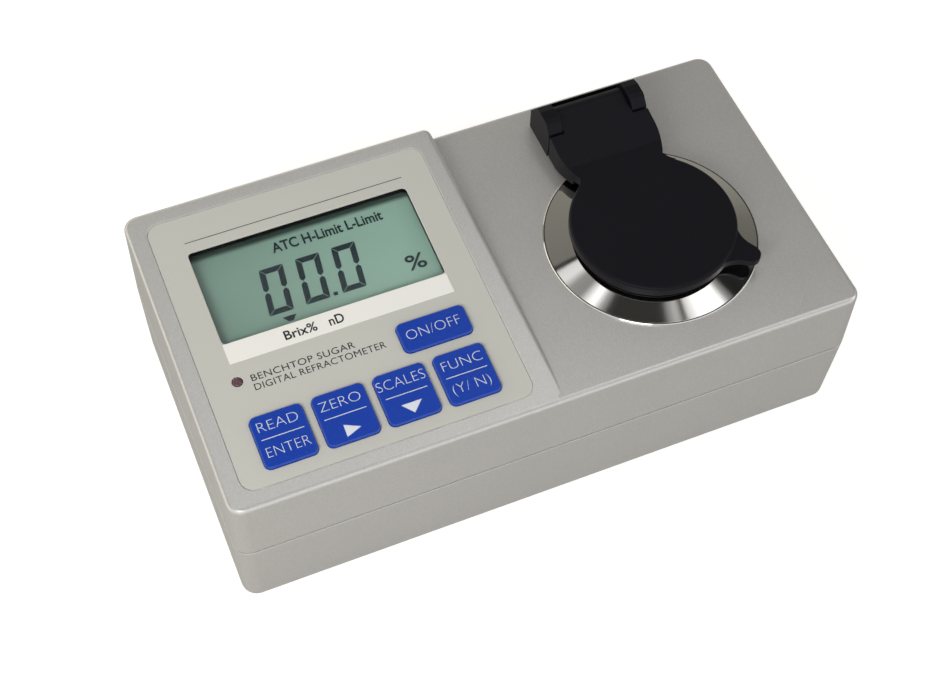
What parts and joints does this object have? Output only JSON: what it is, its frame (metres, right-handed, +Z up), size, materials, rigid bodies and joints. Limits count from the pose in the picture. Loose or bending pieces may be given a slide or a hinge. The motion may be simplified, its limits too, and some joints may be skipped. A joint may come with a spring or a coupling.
{
  "type": "digital refractometer",
  "caption": "Benchtop instrument with a sloping key and display panel on the left and a lidded round sample stage with a prism well on the right.",
  "frame": {"origin": "middle of the footprint, on the surface that the rubber feet stand on", "axes": "+X from the control panel to the sample stage, +Y from front to back, +Z up"},
  "size_m": [0.1824, 0.097, 0.065],
  "materials": {
    "housing": "silver metallic paint, fine sparkle, satin",
    "overlay": "satin printed film, warm light grey",
    "clear_pane": "clear, polished",
    "legend_white": "white print, satin",
    "display_glass": "green-grey reflective display",
    "key_blue": "semi-gloss",
    "plunger_white": "moulded",
    "black_plastic": "moulded, satin",
    "lid_black": "cast or moulded, fine satin texture",
    "seal_dark": "matt",
    "foot_rubber": "matt",
    "steel": "zinc plated",
    "stage_steel": "mirror polished stainless steel",
    "nut_brass": "machined",
    "prism_glass": "optical, polished",
    "lamp_clear": "clear moulded lens",
    "lamp_red": "dark red tinted lens, unlit",
    "board_green": "solder mask over glass fibre",
    "battery_wrap": "plain wrapped can",
    "lead_red": "insulation",
    "ribbon_white": "flat flexible cable"
  },
  "bodies": {
    "base": {"battery": "battery_wrap", "battery_leads": "lead_red", "battery_snap": "black_plastic", "board_screws": "steel", "collimator_lens": "prism_glass", "controller_chip": "black_plastic", "display_window": "clear_pane", "hinge_block": "lid_black", "hinge_pin": "steel", "hinge_screws": "steel", "housing_screws": "steel", "indicator_lamp": "lamp_red", "key_switches": "black_plastic", "lcd_frame": "black_plastic", "lcd_glass": "display_glass", "legend_strip": "legend_white", "light_source": "lamp_clear", "lower_housing": "housing", "main_board": "board_green", "optics_block": "black_plastic", "optics_screws": "steel", "panel_overlay": "overlay", "prism": "prism_glass", "prism_seal": "seal_dark", "ribbon_cable": "ribbon_white", "rubber_feet": "foot_rubber", "sample_stage": "stage_steel", "sensor_array": "black_plastic", "sensor_board": "board_green", "stage_gasket": "foot_rubber", "stage_ring_nut": "nut_brass", "temperature_probe": "steel", "upper_housing": "housing", "zebra_connectors": "foot_rubber"},
    "lid": {"lid_cover": "lid_black", "lid_seal": "seal_dark"},
    "battery_door": {"battery_door": "housing"},
    "read_enter": {"read_enter_key": "key_blue", "read_enter_plunger": "plunger_white"},
    "zero": {"zero_key": "key_blue", "zero_plunger": "plunger_white"},
    "scales": {"scales_key": "key_blue", "scales_plunger": "plunger_white"},
    "function": {"function_key": "key_blue", "function_plunger": "plunger_white"},
    "on_off": {"on_off_key": "key_blue", "on_off_plunger": "plunger_white"}
  },
  "joints": [
    {"name": "lid_hinge", "type": "hinge", "parent": "base", "child": "lid", "pos_m": [0.0455, 0.036, 0.0594], "axis": [-1, 0, 0], "range_deg": [0, 105]},
    {"name": "read_enter_press", "type": "slide", "parent": "base", "child": "read_enter", "axis": [0, 0.0559, -0.9984], "range_m": [0, 0.0005], "stiffness_N_per_m": 2000},
    {"name": "zero_press", "type": "slide", "parent": "base", "child": "zero", "axis": [0, 0.0559, -0.9984], "range_m": [0, 0.0005], "stiffness_N_per_m": 2000},
    {"name": "scales_press", "type": "slide", "parent": "base", "child": "scales", "axis": [0, 0.0559, -0.9984], "range_m": [0, 0.0005], "stiffness_N_per_m": 2000},
    {"name": "function_press", "type": "slide", "parent": "base", "child": "function", "axis": [0, 0.0559, -0.9984], "range_m": [0, 0.0005], "stiffness_N_per_m": 2000},
    {"name": "on_off_press", "type": "slide", "parent": "base", "child": "on_off", "axis": [0, 0.0559, -0.9984], "range_m": [0, 0.0005], "stiffness_N_per_m": 2000},
    {"name": "battery_door_hinge", "type": "hinge", "parent": "base", "child": "battery_door", "pos_m": [-0.06285, 0, 0.0024], "axis": [0, 1, 0], "range_deg": [0, 60]}
  ]
}
